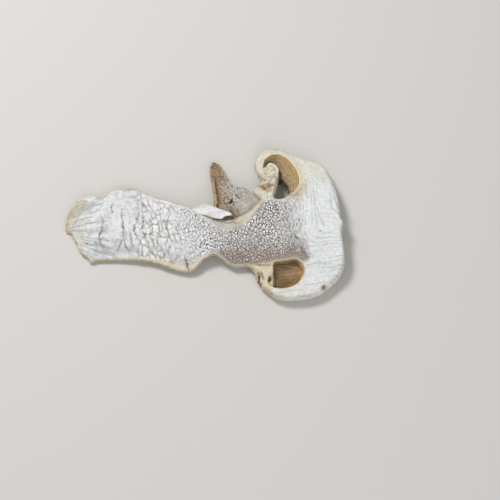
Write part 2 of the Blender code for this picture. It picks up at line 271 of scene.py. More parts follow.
# %% A grid inside an outline
class PlanGrid:
    """Plan points on a square grid inside an outline and outside its holes.

    A square is kept where its middle is inside. Each rim point then moves along the slope of the signed
    distance until that distance is nought, and the points beside the rim move to the mean of their
    neighbours.
    """

    def __init__(self, outline, holes, step):
        self.loops = (outline, holes)
        low, high = outline.min(0) - step, outline.max(0) + step
        x, y = np.meshgrid(np.arange(low[0], high[0], step), np.arange(low[1], high[1], step), indexing="ij")
        field = self.depth(x, y)
        kept = (field[:-1, :-1] + field[1:, :-1] + field[:-1, 1:] + field[1:, 1:]) > 0
        for _ in range(2):
            # Two squares that touch only at a corner get the square between them
            kept[1:, 1:] |= kept[:-1, 1:] & kept[1:, :-1] & ~kept[:-1, :-1]
            kept[:-1, 1:] |= kept[:-1, :-1] & kept[1:, 1:] & ~kept[1:, :-1]
        around = np.pad(kept, 1).astype(int)
        around = around[:-1, :-1] + around[1:, :-1] + around[:-1, 1:] + around[1:, 1:]
        used, rim = around > 0, (around > 0) & (around < 4)
        for _ in range(3):
            depth = self.depth(x[rim], y[rim])
            slope_x, slope_y = self.slope(x[rim], y[rim])
            x[rim] -= depth * slope_x
            y[rim] -= depth * slope_y
        beside = used & ~rim & (field < 2.5 * step)
        for _ in range(3):
            for values in (x, y):
                mean = sum(np.roll(values, shift, axis) for shift in (-1, 1) for axis in (0, 1)) / 4
                values[beside] = mean[beside]
        number = np.full(x.shape, -1)
        number[used] = np.arange(used.sum())
        self.x, self.y = x[used], y[used]
        corners = (number[:-1, :-1], number[1:, :-1], number[1:, 1:], number[:-1, 1:])
        self.squares = np.stack(corners, axis=-1)[kept]
        padded = np.pad(kept, 1)
        sides = []
        for k, (move_x, move_y) in enumerate(((0, -1), (1, 0), (0, 1), (-1, 0))):
            open_side = kept & ~np.roll(padded, (-move_x, -move_y), (0, 1))[1:-1, 1:-1]
            sides.append(np.column_stack([corners[k][open_side], corners[(k + 1) % 4][open_side]]))
        self.rim_edges = np.vstack(sides)
        self.rim = number[rim]
        self.depth_here = self.depth(self.x, self.y)

    def depth(self, x, y):
        outline, holes = self.loops
        inside = depth_inside(x, y, outline)
        for hole in holes:
            inside = np.minimum(inside, -depth_inside(x, y, hole))
        return inside

    def slope(self, x, y, reach=0.05):
        slope_x = self.depth(x + reach, y) - self.depth(x - reach, y)
        slope_y = self.depth(x, y + reach) - self.depth(x, y - reach)
        size = np.hypot(slope_x, slope_y) + 1e-9
        return slope_x / size, slope_y / size


# %% Two faces and a wall
def closed_sheet(grid, top, bottom, rows, swell):
    """(points, faces, source, down) of both faces and the wall.

    The wall's row k of n lies a share k/n of the way down, moved out by swell * sin(pi k / n). For each
    point of the mesh, `source` is its grid point and `down` its share of the way down.
    """
    count, rim = len(grid.x), grid.rim
    slope_x, slope_y = grid.slope(grid.x[rim], grid.y[rim])
    points = [np.column_stack([grid.x, grid.y, top])]
    source, down = [np.arange(count)], [np.zeros(count)]
    place = np.zeros(count, int)
    place[rim] = np.arange(len(rim))
    levels = [np.arange(count)]
    for row in range(1, rows):
        share = row / rows
        out = swell * np.sin(np.pi * share)
        height = top[rim] * (1 - share) + bottom[rim] * share
        points.append(np.column_stack([grid.x[rim] - out * slope_x, grid.y[rim] - out * slope_y, height]))
        source.append(rim)
        down.append(np.full(len(rim), share))
        levels.append(count + (row - 1) * len(rim) + place)
    first = count + (rows - 1) * len(rim)
    levels.append(first + np.arange(count))
    points.append(np.column_stack([grid.x, grid.y, bottom]))
    source.append(np.arange(count))
    down.append(np.ones(count))
    a, b = grid.rim_edges.T
    faces = [grid.squares, grid.squares[:, ::-1] + first]
    for upper, lower in zip(levels, levels[1:]):
        faces.append(np.column_stack([upper[b], upper[a], lower[a], lower[b]]))
    return np.vstack(points), np.vstack(faces), np.concatenate(source), np.concatenate(down)


def rounded(low, high, inside, reach, wall):
    """(top, bottom) of a sheet whose faces close in on its edge as a quarter of an ellipse.

    They do so over `reach`, and a wall of height `wall` is left between them at the edge.
    """
    near = 1 - np.clip(inside / reach, 0, 1)
    middle, half = (high + low) / 2, (high - low) / 2
    half = wall / 2 + (half - wall / 2) * np.sqrt(1 - near**2)
    return middle + half, middle - half


# %% A section carried along a path
def carried_section(path, up, half_width, half_height, sides, roundness=0.5):
    """(points, faces) of a closed tube.

    At each place of the path the section is the closed curve half_width * c, half_height * s, where c and
    s are the cosine and sine of the turn raised to `roundness` with their signs kept: 1 is an ellipse and
    less is squarer. Both ends close on a point.
    """
    run = np.gradient(path, axis=0)
    run /= np.linalg.norm(run, axis=1, keepdims=True)
    side = np.cross(run, up)
    side /= np.linalg.norm(side, axis=1, keepdims=True)
    lift = np.cross(side, run)
    turn = np.linspace(0, 2 * np.pi, sides, endpoint=False)
    c = np.sign(np.cos(turn)) * np.abs(np.cos(turn)) ** roundness
    s = np.sign(np.sin(turn)) * np.abs(np.sin(turn)) ** roundness
    across = np.broadcast_to(half_width, len(path))[:, None, None] * c[None, :, None] * side[:, None, :]
    upwards = np.broadcast_to(half_height, len(path))[:, None, None] * s[None, :, None] * lift[:, None, :]
    ring = (path[:, None, :] + across + upwards).reshape(-1, 3)
    points = np.vstack([ring, path[:1], path[-1:]])
    k = np.arange(sides)
    following = (k + 1) % sides
    rows = np.arange(len(path) - 1)[:, None] * sides
    quads = np.stack([rows + k, rows + following, rows + sides + following, rows + sides + k], axis=-1)
    start, end = len(ring), len(ring) + 1
    last = (len(path) - 1) * sides
    caps = np.vstack([
        np.column_stack([following, k, np.full(sides, start)]),
        np.column_stack([last + k, last + following, np.full(sides, end)]),
    ])
    return points, quads.reshape(-1, 4).tolist() + caps.tolist()


# %% Into Blender
def put_piece(name, points, faces, material, slot, source=slice(None), **numbers):
    """A smooth-shaded mesh object in metres that carries named numbers from 0 to 1.

    Each number is given at the points of the mesh, or at those of the grid that `source` refers to.
    """
    mesh = bpy.data.meshes.new(name)
    placed = (points + [*plan_shift, 0]) / 1000
    mesh.from_pydata(placed.tolist(), [], faces if isinstance(faces, list) else faces.tolist())
    mesh.shade_smooth()
    for label, values in numbers.items():
        layer = mesh.attributes.new(label, "FLOAT", "POINT")
        layer.data.foreach_set("value", values[source].clip(0, 1).astype(np.float32))
    mesh.materials.append(material)
    piece = bpy.data.objects.new(name, mesh)
    bpy.context.scene.collection.objects.link(piece)
    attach(piece, "root")
    triangles = sum(len(face.vertices) - 2 for face in mesh.polygons)
    print(f"{name}: {len(mesh.vertices)} points, {triangles} triangles")
    return piece


def joined(parts):
    """One (points, faces) from several, with each later part's faces counted on."""
    points, faces, first = [], [], 0
    for part_points, part_faces in parts:
        points.append(part_points)
        faces += [[first + corner for corner in face] for face in part_faces]
        first += len(part_points)
    return np.vstack(points), faces


# %% [markdown]
# ## Finishes
#
# The dried flesh is one finish that changes from place to place: white on the cut, cream at the edges,
# grey-brown in the wrinkles, partly as painted shade, tan on the skin, and painted shade in the hollows and
# along the neck's near side. Each of those is a number that the piece carries at every point, and the
# material lays its colour over the white by that number. Noise on Object coordinates breaks every colour
# up, because nothing dried is even, and a fine bump gives the chalky grain.
#
# Wrinkles finer than the mesh are drawn the same way: a number says how strong they are at each point,
# and the material makes them out of spots of noise or the borders of cells, with painted shade in their
# lines and pits and a painted highlight on the puffs between them.


# %% Colours
def colour(red, green, blue):
    """A colour as a screen shows it, 0 to 255, made linear: (c / 255 + 0.055) / 1.055 to the power 2.4."""
    return (*(((c / 255 + 0.055) / 1.055) ** 2.4 for c in (red, green, blue)), 1.0)


CHALK = colour(239, 241, 242)
CREAM = colour(222, 208, 168)
CREASE_AND_SHADE_BROWN = colour(130, 106, 84)
LINE_GREY = colour(132, 118, 108)
NECK_GREY = colour(143, 134, 130)
PIT_GREY = colour(74, 60, 58)
WHITE_AND_HIGHLIGHT = colour(252, 254, 255)
STREAK_AND_SHADE_GREY = colour(168, 168, 170)
SKIN_TAN = colour(176, 142, 92)
RUST = colour(154, 112, 66)
DARK_AND_SHADE_BROWN = colour(58, 40, 24)
GILL_OLIVE = colour(197, 172, 131)
GILL_ROOT = colour(206, 168, 112)
RING_BEIGE = colour(210, 198, 180)
RING_PALE = colour(222, 220, 216)
RING_SHADE = colour(128, 108, 88)
WARM_SHADE = colour(205, 193, 170)
GRAIN_SHADE = colour(150, 143, 136)
PALE = colour(255, 255, 255)


# %% Node helpers
def feed(tree, node, inputs):
    """Gives each input its value, which is a constant or the output that it is linked from."""
    for key, value in inputs.items():
        if isinstance(value, bpy.types.NodeSocket):
            tree.links.new(value, node.inputs[key])
        else:
            node.inputs[key].default_value = value


def mix(tree, factor, under, over, blend="MIX"):
    """A Mix node over two colours."""
    node = tree.nodes.new("ShaderNodeMix")
    node.data_type = "RGBA"
    node.blend_type = blend
    feed(tree, node, {0: factor, 6: under, 7: over})
    return node.outputs[2]


def maths(tree, operation, *values):
    """A clamped Math node."""
    node = tree.nodes.new("ShaderNodeMath")
    node.operation = operation
    node.use_clamp = True
    feed(tree, node, dict(enumerate(values)))
    return node.outputs[0]


CELL_LEAN = 0.22
CELL_WAVER = 0.65


def noise(tree, size_mm, stretch=(1, 1, 1), detail=3.0, cells=False):
    """Noise on Object coordinates, whose blobs are about `size_mm` wide, drawn out by `stretch`.

    With `cells` it is the distance to the nearest border of uneven, leaning cells of that size instead.
    """
    mapping = tree.nodes.new("ShaderNodeMapping")
    mapping.vector_type = "TEXTURE"
    feed(tree, mapping, {
        "Vector": tree.nodes.new("ShaderNodeTexCoord").outputs["Object"],
        "Rotation": (0, 0, CELL_LEAN if cells else 0),
        "Scale": [size_mm * s / 1000 for s in stretch],
    })
    place = mapping.outputs["Vector"]
    blobs = tree.nodes.new("ShaderNodeTexNoise")
    feed(tree, blobs, {"Vector": place, "Scale": 1.0, "Detail": detail})
    if not cells:
        return blobs.outputs["Fac"]
    waver = tree.nodes.new("ShaderNodeVectorMath")
    waver.operation = "MULTIPLY_ADD"
    feed(tree, waver, {0: blobs.outputs["Color"], 1: (CELL_WAVER, CELL_WAVER, 0), 2: place})
    borders = tree.nodes.new("ShaderNodeTexVoronoi")
    borders.voronoi_dimensions = "2D"
    borders.feature = "DISTANCE_TO_EDGE"
    feed(tree, borders, {"Vector": waver.outputs["Vector"], "Scale": 1.0})
    return borders.outputs["Distance"]


def carried_number(tree, attribute):
    """Reads a number that the piece carries at every point."""
    reader = tree.nodes.new("ShaderNodeAttribute")
    reader.attribute_name = attribute
    return reader.outputs["Fac"]


# %% A dry finish
SPOT_RELIEF = 0.4


def dried_finish(
    name, base, layers, spots=(),
    roughness=0.85, grain_mm=0.4, grain_depth_mm=0.12, contrast=0.4, stretch=(1, 1, 1),
):
    """A dry surface: `base` covered by layers of (attribute, colour, strength), varied by noise.

    Each layer's cover is attribute * strength * (0.7 + 0.6 * grain). Each of the spots, given as
    (attribute, colour, cells, size, stretch, gain, offset), covers attribute * (gain * noise + offset), so
    only the peaks or the troughs of its noise show, or the borders of its cells. The whole is then
    multiplied by a faint warm mottling and by two sizes of grain. The grain drives the bump, raised by
    white spots and sunk by all others.
    """
    material = bpy.data.materials.new(name)
    material.use_nodes = True
    tree = material.node_tree
    shader = tree.nodes["Principled BSDF"]
    grain = noise(tree, grain_mm, stretch)
    speckle = maths(tree, "MULTIPLY_ADD", noise(tree, 3.2 * grain_mm, stretch, 2.0), 3.2, -1.1)
    tone, height = base, grain
    broken = maths(tree, "MULTIPLY_ADD", grain, 0.6, 0.7)
    for attribute, over, strength in layers:
        amount = maths(tree, "MULTIPLY", carried_number(tree, attribute), strength)
        tone = mix(tree, maths(tree, "MULTIPLY", amount, broken), tone, over)
    for attribute, over, cells, size_mm, drawn_out, gain, offset in spots:
        peaks = maths(tree, "MULTIPLY_ADD", noise(tree, size_mm, drawn_out, 2.0, cells), gain, offset)
        cover = maths(tree, "MULTIPLY", carried_number(tree, attribute), peaks)
        tone = mix(tree, cover, tone, over)
        relief = SPOT_RELIEF if over == WHITE_AND_HIGHLIGHT else -SPOT_RELIEF
        height = maths(tree, "MULTIPLY_ADD", cover, relief, height)
    mottle = maths(tree, "MULTIPLY_ADD", noise(tree, 7.0), 2.4, -0.9)
    tone = mix(tree, maths(tree, "MULTIPLY", mottle, 0.22), tone, WARM_SHADE, "MULTIPLY")
    for pattern in (speckle, grain):
        tone = mix(tree, contrast, tone, mix(tree, pattern, GRAIN_SHADE, PALE), "MULTIPLY")
    bumps = tree.nodes.new("ShaderNodeBump")
    feed(tree, bumps, {"Distance": grain_depth_mm / 1000, "Height": height})
    feed(tree, shader, {
        "Base Color": tone,
        "Normal": bumps.outputs["Normal"],
        "Roughness": roughness,
        "Specular IOR Level": 0.2,
    })
    return material


# %% The three finishes
flesh_finish = dried_finish(
    "dried_flesh",
    CHALK,
    [
        ("streak", STREAK_AND_SHADE_GREY, 0.8),
        ("cream", CREAM, 0.9),
        ("neck", NECK_GREY, 0.8),
        ("crease", CREASE_AND_SHADE_BROWN, 1.0),
        ("skin", SKIN_TAN, 1.0),
        ("gill", GILL_OLIVE, 1.3),
        ("root", GILL_ROOT, 1.2),
        ("rust", RUST, 1.2),
        ("dark", DARK_AND_SHADE_BROWN, 1.2),
    ],
    [
        # The grey lines and dark pits of the finer wrinkles are partly painted shade, and their white centres
        # are a painted highlight over the flesh's own white.
        ("scales", LINE_GREY, True, 2.0, (1, 1.7, 1), -12.0, 1.05),
        ("scales", WHITE_AND_HIGHLIGHT, True, 2.0, (1, 1.7, 1), 5.0, -0.6),
        ("beads", LINE_GREY, True, 1.3, (1, 1.5, 1), -8.0, 1.05),
        ("beads", WHITE_AND_HIGHLIGHT, True, 1.3, (1, 1.5, 1), 6.0, -0.7),
        ("pebble", PIT_GREY, False, 0.8, (1, 1, 1), 15.0, -7.7),
        ("pebble", WHITE_AND_HIGHLIGHT, True, 1.0, (1, 1.2, 1), 11.0, -2.0),
        ("drawn", LINE_GREY, False, 0.5, (1, 4, 1), 7.0, -3.6),
        ("drawn", WHITE_AND_HIGHLIGHT, False, 0.6, (1, 3, 1), -6.0, 2.8),
    ],
    grain_mm=0.35,
    contrast=0.25,
)
gill_finish = dried_finish(
    "dried_gills",
    GILL_OLIVE,
    [("root", GILL_ROOT, 1.0), ("dark", DARK_AND_SHADE_BROWN, 1.0)],
    roughness=0.75,
    grain_depth_mm=0.08,
    contrast=0.5,
    stretch=(5, 1, 1),
)
ring_finish = dried_finish(
    "ring_fibres",
    RING_BEIGE,
    [
        ("pale", RING_PALE, 0.9),
        ("shade", RING_SHADE, 0.9),
        ("cream", CREAM, 0.8),
        ("skin", SKIN_TAN, 1.0),
        ("root", GILL_ROOT, 1.0),
        ("dark", DARK_AND_SHADE_BROWN, 1.0),
    ],
    [("flecks", RING_SHADE, False, 0.6, (1, 1.4, 1), 12.0, -6.3)],
)
print("finishes:", [finish.name for finish in (flesh_finish, gill_finish, ring_finish)])

# %% [markdown]
# ## The flesh
#
# Its form is the solid's form: thin at the stem's edges and crowned along its middle, thick in the cap,
# bowed clear of the table in the middle, with both faces closing in on the edge. The near hollow is a pit
# with a floor, and the far hollow slopes down from its rim to the open window. A cut edge is never quite
# smooth, so the outline gets small tears, the most at the foot.

# %% Form of the flesh, as in the solid
CAP_THICKNESS = 5.6
STEM_THICKNESS = 3.6
STEM_EDGE_THICKNESS = 2.2
STEM_CROWN_REACH = 8.0
CAP_BEGINS_X = 14.0
CAP_FULL_X = 28.0
EDGE_WALL = 0.9
EDGE_ROUND = 1.7
BOW = 3.4
BOW_FOOT_X = -46.0
BOW_NECK_X = -8.0
BOW_HALF_WIDTH = 25.0
NOTCH_CENTRE = (3.4, -14.2)
NOTCH_LIFT = 1.4
NOTCH_REACH = 6.0
VEIL_CHUNK = [
    (23.6, 23.6), (25.0, 25.4), (27.6, 25.8), (29.2, 24.4), (29.7, 21.2), (29.4, 17.0), (28.8, 13.6),
    (27.4, 11.6), (23.4, 12.6), (22.6, 17.0), (22.6, 20.6),
]
LIP_OUTER = [(3.4, -0.6), (7.4, -2.9), (13.1, -2.9), (15.4, -1.7), (18.2, 1.1), (21.0, 4.4), (23.7, 8.4)]
LIP_INNER = [(22.8, 9.4), (20.2, 6.4), (17.4, 4.2), (13.1, 2.0), (8.1, 1.2), (3.6, 1.2)]
NEAR_SHELF_X = 27.4
SMALL_HOLE = (26.0, -24.2)


def underside(x, y):
    """The bow 3.4 * ramp(x) * (1 - (y / 25)^2), never below 0, and a bell-shaped lift at the notch."""
    bow = BOW * ramp(BOW_FOOT_X, BOW_NECK_X, x) * np.maximum(0, 1 - (y / BOW_HALF_WIDTH) ** 2)
    return bow + NOTCH_LIFT * spot(NOTCH_REACH, x, y, NOTCH_CENTRE)


def flesh_thickness(x, in_flesh):
    """From edge to crown across the stem, and from stem to cap along it, each by an S-curve."""
    stem = STEM_EDGE_THICKNESS + (STEM_THICKNESS - STEM_EDGE_THICKNESS) * ramp(0, STEM_CROWN_REACH, in_flesh)
    return stem + (CAP_THICKNESS - stem) * ramp(CAP_BEGINS_X, CAP_FULL_X, x)


def ragged(loop, seed):
    """A closed outline torn in and out by noise, more at the near veil and most at the foot."""
    fine = smooth_path(loop, 0.5, True)
    run = np.roll(fine, -1, axis=0) - np.roll(fine, 1, axis=0)
    across = np.column_stack([run[:, 1], -run[:, 0]]) / np.hypot(*run.T)[:, None]
    amount = 0.12 + 0.3 * ramp(-44, -50, fine[:, 0]) + 0.18 * spot(4, *fine.T, (21, -24))
    tear = amount * layered_noise(np.arange(len(fine)) / 3.1, np.full(len(fine), 0.5), seed)
    return fine + tear[:, None] * across


FLESH_STEP = 0.3
flesh = PlanGrid(ragged(flesh_loop, 17), [window_loop], FLESH_STEP)
x, y, inside = flesh.x, flesh.y, np.maximum(flesh.depth_here, 0)
in_near = depth_inside(x, y, near_rim_loop)
in_band = depth_inside(x, y, np.vstack([far_rim_path, far_inner_path[::-1]]))
from_far_rim = distance_to_path(x, y, far_rim_path)[0]
from_far_inner = distance_to_path(x, y, far_inner_path)[0]
in_chunk = depth_inside(x, y, smooth_path(VEIL_CHUNK, closed=True))
lip_loop = smooth_path(LIP_OUTER + LIP_INNER, closed=True)
in_lip = depth_inside(x, y, lip_loop)
print("flesh grid:", len(x), "points,", len(flesh.squares), "squares")

# %% [markdown]
# ### Hollows
#
# The near hollow has a steep wall on the stem's side and slopes up to its rim on the other, where the
# gills grow out of the cap. The far hollow is one long slope that follows the curve of its rim.

# %% Depth of the hollows
NEAR_FLOOR = 3.1
FAR_FLOOR = 3.6
UNDER_LIP = 1.1
NEAR_CENTRE = (32.0, -23.0)


def past_centre(x, y):
    """How far a place lies past the near hollow's middle, towards the crown and the near margin."""
    return 0.8 * (x - NEAR_CENTRE[0]) - 0.6 * (y - NEAR_CENTRE[1])


outwards = past_centre(x, y)
wall_reach = 0.7 + 2.3 * ramp(1.0, 5.0, outwards)
near_sunk = np.clip(in_near / wall_reach, 0, 1)
near_sunk = near_sunk * (2 - near_sunk)
far_share = np.where(in_band > 0, from_far_rim / (from_far_rim + from_far_inner + 1e-6), 0)
far_sunk = ramp(0, 1, far_share) * ramp(0.1, 0.6, -in_chunk)
shelf = ramp(NEAR_SHELF_X + 0.25, NEAR_SHELF_X - 0.15, x) * (in_near > 0)
small_hole = spot(0.5, x, y, SMALL_HOLE)
near_sunk = near_sunk * (1 - 0.68 * shelf) + 0.5 * small_hole
sink = NEAR_FLOOR * near_sunk + FAR_FLOOR * far_sunk + UNDER_LIP * ramp(-0.2, 0.5, in_lip)
print("deepest places of both hollows, mm:", NEAR_FLOOR * near_sunk.max(), FAR_FLOOR * far_sunk.max())

# %% [markdown]
# ### Wrinkles
#
# Along the stem the wrinkles change. Near the foot a few long creases run right across it. In the middle
# they join into a net of puffed cells, longer across the stem than along it, and towards the neck the
# net gets finer until it is a pebbled skin with dark pits. The long creases are carved one by one, and
# two nets of uneven cells follow them. Whatever is finer is left to the finish, and only its strength is
# set here.

# %% Long creases, foot to neck
CREASES = [
    [(-41.9, 3.6), (-41.2, 1.5), (-41.2, -2.4), (-42.0, -5.1), (-41.9, -7.8), (-40.6, -9.8), (-38.4, -11.6)],
    [(-33.5, 6.4), (-33.3, 3.0), (-33.1, -0.2), (-32.6, -3.3), (-32.6, -6.0), (-32.0, -7.1)],
    [(-32.2, -6.6), (-31.5, -9.6), (-30.4, -12.2)],
    [(-32.6, -6.6), (-33.8, -9.8), (-34.6, -11.8)],
    [(-27.4, 10.8), (-27.2, 7.3), (-26.5, 3.8), (-27.9, -1.2), (-28.1, -3.9), (-27.0, -6.6), (-24.2, -11.7)],
    [(-24.6, 9.1), (-23.5, 5.9), (-24.9, 2.9), (-24.6, -0.3), (-24.4, -3.8), (-22.6, -10.0), (-22.0, -12.7)],
    [(-29.8, -3.0), (-29.6, -5.8), (-29.2, -8.9), (-28.1, -11.6)],
    [(-21.6, 1.0), (-20.8, -3.0), (-21.6, -6.4), (-19.8, -10.4), (-19.4, -13.0)],
    [(-18.3, 0.3), (-18.0, -3.4), (-18.8, -7.1), (-18.6, -9.8), (-16.0, -13.3), (-15.1, -16.0)],
    [(-14.4, 2.1), (-14.9, -1.0), (-15.1, -4.1), (-14.0, -7.2), (-14.7, -9.5), (-13.5, -12.3)],
    [(-10.4, -1.0), (-11.2, -4.0), (-9.6, -7.6), (-8.6, -10.8)],
    [(-37.2, 8.8), (-37.8, 6.0), (-37.0, 4.2)],
]
CREASE_WIDTH = 0.26
CREASE_DEPTH = 0.36
CAP_CRACK = [(37.8, -11.4), (39.2, -13.6), (40.6, -15.6), (41.6, -17.0)]
EDGE_CRACK = [(-7.8, -15.2), (-7.0, -17.6), (-6.3, -20.4)]
VEIL_TEARS = [
    [(21.5, -21.3), (21.8, -23.4), (21.6, -25.2), (22.6, -27.2)],
    [(25.6, -24.4), (25.9, -25.4)],
]
VEIL_FOLDS = [
    [(18.6, -17.6), (21.6, -18.9), (24.4, -19.3), (27.0, -19.0)], [(22.4, -21.4), (23.6, -25.0)],
    [(21.6, 21.4), (22.6, 19.6), (22.9, 17.4)], [(23.4, 18.8), (24.2, 17.2)],
]

drift_x = x + 0.8 * layered_noise(x / 3, y / 3, 11)
drift_y = y + 1.0 * layered_noise(x / 3, y / 3, 21)
shake_x = x + 0.35 * layered_noise(x / 0.9, y / 0.9, 31, 2)
shake_y = y + 0.3 * layered_noise(x / 0.9, y / 0.9, 41, 2)


def creased(places, width):
    """1 along a smooth path, falling off to its sides and towards both of its ends."""
    gap, along = distance_to_path(shake_x, shake_y, smooth_path(places, 0.8))
    return bump(width, gap) * np.sqrt(np.sin(np.pi * np.clip(along, 0.02, 0.98)))


long_creases = most(*(creased(places, CREASE_WIDTH) for places in CREASES))
cracks = most(*(creased(places, 0.36) for places in (CAP_CRACK, EDGE_CRACK)))
tears = most(*(creased(places, 0.5) for places in VEIL_TEARS))
veil_folds = most(*(creased(places, 0.4) for places in VEIL_FOLDS))
print("one by one:", len(CREASES), "creases,", len(VEIL_TEARS), "tears,", len(VEIL_FOLDS), "folds")

# %% The carved net, in two scales
MIDDLE_CELL = (3.6, 7.4)
SMALL_CELL = (2.0, 3.4)

clear_of_edge = ramp(0.5, 2.2, inside)
clear_of_rims = ramp(0.4, 1.6, -in_near) * ramp(1.0, 3.2, from_far_rim) * ramp(0.4, 2.4, -in_chunk)
clear_of_rims *= ramp(0.1, 0.4 + 1.4 * ramp(14, 8, x), -in_lip) * ramp(1.4, 2.8, -in_near) * (in_band < 0)
clear_of_rims *= ramp(-18.6, -16.8, y)
middle_zone = ramp(-30, -25, x) * ramp(-4, -14, x) * clear_of_edge
small_zone = ramp(-27, -20, x) * ramp(6, -4, x) * clear_of_edge * clear_of_rims
middle_border = cell_net(drift_x / MIDDLE_CELL[0], (drift_y + 0.9 * drift_x) / MIDDLE_CELL[1], 60)[1]
small_border = cell_net(drift_x / SMALL_CELL[0], (drift_y + 0.8 * drift_x) / SMALL_CELL[1], 61)[1]
net = np.maximum(
    middle_zone * bump(0.07, middle_border) * (0.9 + 0.5 * soft_noise(x / 2, y / 2, 62)),
    0.2 * small_zone * bump(0.1, small_border),
).clip(0, 1)
puffed = 0.3 * middle_zone * ramp(0, 0.5, middle_border) + 0.14 * small_zone * ramp(0, 0.5, small_border)


def covered(mask):
    """The share of the flesh, in per cent, where a mask is above a tenth."""
    return round(100 * np.mean(mask > 0.1))


print("net, %:", covered(net))

# %% The neck, where the finish draws its finer nets
# From the stem to the cap there are scales, beads, pebbles and drawn-out lines. The neck is greyish all
# over, and a brown shade is painted along its near side.
neck_zone = clear_of_edge * clear_of_rims
scales = ramp(-31, -25, x) * ramp(-5, -12, x) * neck_zone * (0.6 + 0.5 * layered_noise(x / 4, y / 4, 72))
beads = ramp(-14, -8, x + 0.2 * y) * ramp(36, 28, x + 0.2 * y) * neck_zone
beads *= 0.75 + 0.35 * layered_noise(x / 4, y / 4, 73) - 0.2 * ramp(0, 10, x)
pebble_zone = ramp(-13, 0, x + 0.2 * y) * ramp(38, 30, x + 0.15 * y) * neck_zone
painted_neck_shade = ramp(-6, -15, y) * ramp(2, 9, x) * ramp(43, 39, x) * ramp(0.4, 1.2, inside)
painted_neck_shade *= ramp(0.2, 0.7, -in_near) * ramp(-19.5, -17.0, y)
painted_neck_shade = np.maximum(painted_neck_shade, 0.25 * spot(7, x, y, (23, 2)))
neck = ramp(-11, 16, x + 0.2 * y) * ramp(41, 31, x + 0.15 * y)
neck *= ramp(0.3, 1.2, inside) * ramp(13, 11, y) * clear_of_rims**0.5
neck *= 1 - 0.35 * ramp(28, 32, x) * ramp(38, 35, x) * (1 - painted_neck_shade)
beads *= 1 - 0.8 * painted_neck_shade
drawn_zone = ramp(26, 31, x) * ramp(42, 37, x + 0.15 * y) * neck_zone
pebbles = soft_noise(shake_x / 0.6, shake_y / 0.65, 64)
patches = (0.8 + 0.45 * layered_noise(x / 5, y / 5, 71)).clip(0, 1) * (1 - 0.5 * painted_neck_shade)
print("scales, beads and pebbles, %:", covered(scales), covered(beads), covered(pebble_zone))

# %% [markdown]
# ### Fibres, lumps and stains
#
# The flesh is made of fibres. At the foot they fan out along the stem, along its far edge they follow the
# edge, and in the cap they turn the corner from the stem into the near margin, so one number that is
# constant along a fibre is enough to draw them. The scrap of veil inside the far margin is crumbly like
# popcorn, and stained with rust.

# %% Fibres
FOOT_FAN = (-66.0, -2.5)
CAP_TURN = (36.0, -17.0)

fan = np.arctan2(y - FOOT_FAN[1], x - FOOT_FAN[0])
fan_reach = np.hypot(x - FOOT_FAN[0], y - FOOT_FAN[1])
foot_fibres = soft_noise(fan * 38, fan_reach / 5, 81) + 0.6 * soft_noise(fan * 80, fan_reach / 4, 82)
foot_zone = ramp(-36, -46, x + 0.3 * y)
far_stem = smooth_path(FAR_STEM_EDGE)
from_far_stem = distance_to_path(x, y, far_stem)[0]
edge_fibres = soft_noise(from_far_stem / 0.6 + soft_noise(x / 4, y / 4, 83), x / 6, 84)
edge_zone = ramp(8.0, 4.0, from_far_stem) * ramp(0.2, 1.2, inside) * ramp(-22, -32, x)
right = x - CAP_TURN[0]
above = y - CAP_TURN[1] - 0.12 * right
turned = np.where(above < 0, above, np.where(right < 0, right, right * above / np.hypot(right, above)))
turned += 0.6 * soft_noise(x / 5, y / 5, 91)
cap_fibres = 0.6 * np.sin(2 * np.pi * turned / 1.2 + 2 * layered_noise(x / 7, y / 7, 92))
cap_fibres += 0.6 * soft_noise(turned / 0.5, (x - y) / 7, 93)
cap_zone = np.clip(ramp(33, 40, x) + ramp(24, 30, x) * ramp(14, 19, np.abs(y)), 0, 1)
cap_zone *= ramp(-0.4, 0.6, -in_near) * ramp(-0.6, 0.8, -in_band)
puckers = layered_noise(shake_x / 1.5, shake_y / 1.5, 85, 2)
print("fibres at the foot, far edge and cap, %:", covered(foot_zone), covered(edge_zone), covered(cap_zone))

# %% Heights of both faces
CHUNK_LUMP = 1.9
CHUNK_PUFF = 1.25
WAVE = 0.25

lump = cell_net(x / CHUNK_LUMP + 0.25 * soft_noise(x, y, 5), y / CHUNK_LUMP, 101)[0]
chunk = ramp(-0.4, 0.9, in_chunk)
low = underside(x, y)
high = low + flesh_thickness(x, depth_inside(x, y, flesh_loop)) - sink
high += WAVE * layered_noise(x / 13, y / 9, 7) * clear_of_edge
top, bottom = rounded(low, high, inside, EDGE_ROUND, EDGE_WALL)

carved = CREASE_DEPTH * np.maximum(long_creases, net) + 0.1 * pebble_zone * pebbles
carved += 0.13 * foot_zone * foot_fibres + 0.035 * cap_zone * cap_fibres + 0.09 * edge_zone * edge_fibres
carved += 0.06 * puckers * clear_of_rims * ramp(36, 26, x) + 0.5 * cracks + 1.7 * tears + 0.5 * veil_folds
edge_ease = ramp(0, 0.7, inside)
top += edge_ease * (puffed - carved)
top += CHUNK_PUFF * chunk * (ramp(0.8, 0.1, lump) - 0.4) * edge_ease
top += 0.2 * bump(0.5, in_near + 0.3)
bottom += 0.5 * edge_ease * np.clip(carved, 0, 0.4)
top = np.maximum(top, bottom + 0.5)
print("flesh height, mm:", top.max().round(2), "underside from", bottom.min().round(3))
